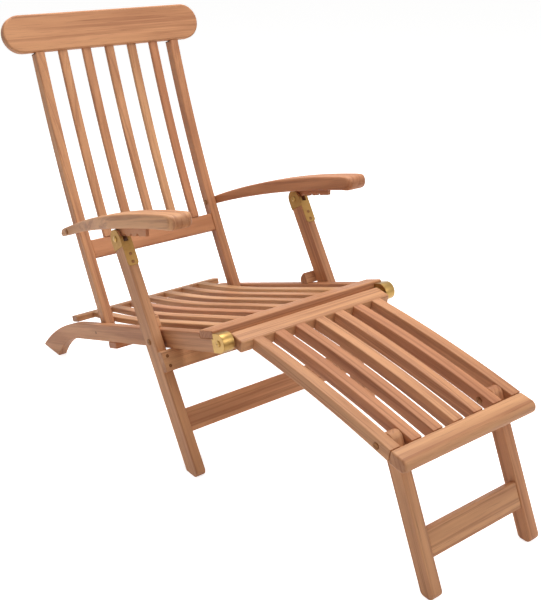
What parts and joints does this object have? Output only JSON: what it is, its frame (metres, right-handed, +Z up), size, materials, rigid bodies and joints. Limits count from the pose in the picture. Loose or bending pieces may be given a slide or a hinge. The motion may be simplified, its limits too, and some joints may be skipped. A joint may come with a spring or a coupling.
{
  "type": "steamer deck chair",
  "caption": "Folding slatted wooden deck chair with curved back, arched arms, hinged leg rest on folding legs and brass fittings.",
  "frame": {"origin": "on the floor, in the middle of the ground that the opened chair covers", "axes": "+Z up, +Y to the rear (the sitter faces -Y), +X to the sitter's left"},
  "size_m": [0.6, 1.4929, 0.96],
  "materials": {
    "teak": "oiled and sanded teak",
    "brass": "bare brass, brushed"
  },
  "bodies": {
    "seat_frame": {"front_leg_bolts": "brass", "hinge_bolts": "brass", "hinge_washers": "brass", "rail_caps": "brass", "seat_front_board": "teak", "seat_rail_left": "teak", "seat_rail_right": "teak", "seat_rear_rail": "teak", "seat_slat_1": "teak", "seat_slat_2": "teak", "seat_slat_3": "teak", "seat_slat_4": "teak", "seat_slat_5": "teak", "seat_slat_6": "teak", "seat_slat_7": "teak", "seat_under_bar": "teak", "stop_blocks": "teak"},
    "front_legs": {"front_leg_left": "teak", "front_leg_right": "teak", "front_leg_stop_board": "teak", "front_leg_stretcher": "teak", "front_leg_washers": "brass", "leg_saddles": "brass", "saddle_pins": "brass", "saddle_screws": "brass", "stop_board_screws": "brass"},
    "back_hinge": {"back_bolts": "brass"},
    "back": {"back_lower_rail": "teak", "back_slat_1": "teak", "back_slat_2": "teak", "back_slat_3": "teak", "back_slat_4": "teak", "back_slat_5": "teak", "back_stile_left": "teak", "back_stile_right": "teak", "head_rail": "teak"},
    "arm_hinge_left": {"arm_bolt_left": "brass"},
    "arm_hinge_right": {"arm_bolt_right": "brass"},
    "arm_left": {"arm_left": "teak", "arm_rack_left": "teak"},
    "arm_right": {"arm_right": "teak", "arm_rack_right": "teak"},
    "leg_rest": {"rest_front_rail": "teak", "rest_leg_bolts": "brass", "rest_rail_left": "teak", "rest_rail_right": "teak", "rest_rear_rail": "teak", "rest_slat_1": "teak", "rest_slat_2": "teak", "rest_slat_3": "teak", "rest_slat_4": "teak", "rest_slat_5": "teak"},
    "rest_legs": {"rest_leg_left": "teak", "rest_leg_right": "teak", "rest_leg_stretcher": "teak"}
  },
  "joints": [
    {"name": "frame_fold", "type": "hinge", "parent": "seat_frame", "child": "front_legs", "pos_m": [0, 0.05793, 0.27552], "axis": [1, 0, 0], "range_deg": [0, 80]},
    {"name": "back_fold", "type": "hinge", "parent": "seat_frame", "child": "back_hinge", "pos_m": [0, 0.39727, 0.16591], "axis": [1, 0, 0], "range_deg": [0, 72.4]},
    {"name": "back_recline", "type": "hinge", "parent": "back_hinge", "child": "back", "pos_m": [0, 0.39727, 0.16591], "axis": [-1, 0, 0], "range_deg": [0, 21]},
    {"name": "arm_fold_left", "type": "hinge", "parent": "back", "child": "arm_hinge_left", "pos_m": [0, 0.52839, 0.41329], "axis": [-1, 0, 0], "range_deg": [0, 75.2]},
    {"name": "arm_fold_right", "type": "hinge", "parent": "back", "child": "arm_hinge_right", "pos_m": [0, 0.52839, 0.41329], "axis": [-1, 0, 0], "range_deg": [0, 75.2]},
    {"name": "arm_tilt_left", "type": "hinge", "parent": "arm_hinge_left", "child": "arm_left", "pos_m": [0, 0.52839, 0.41329], "axis": [1, 0, 0], "range_deg": [0, 15.75]},
    {"name": "arm_tilt_right", "type": "hinge", "parent": "arm_hinge_right", "child": "arm_right", "pos_m": [0, 0.52839, 0.41329], "axis": [1, 0, 0], "range_deg": [0, 15.75]},
    {"name": "leg_rest_tilt", "type": "hinge", "parent": "seat_frame", "child": "leg_rest", "pos_m": [0, -0.1832, 0.3534], "axis": [-1, 0, 0], "range_deg": [0, 50]},
    {"name": "rest_legs_fold", "type": "hinge", "parent": "leg_rest", "child": "rest_legs", "pos_m": [0, -0.6066, 0.28429], "axis": [1, 0, 0], "range_deg": [0, 95]}
  ],
  "couplings": [
    {"joint": "back_fold", "follows": "frame_fold", "ratio": 0.905},
    {"joint": "arm_fold_left", "follows": "frame_fold", "ratio": 0.94},
    {"joint": "arm_fold_right", "follows": "frame_fold", "ratio": 0.94},
    {"joint": "arm_tilt_left", "follows": "back_recline", "ratio": 0.75},
    {"joint": "arm_tilt_right", "follows": "back_recline", "ratio": 0.75}
  ]
}
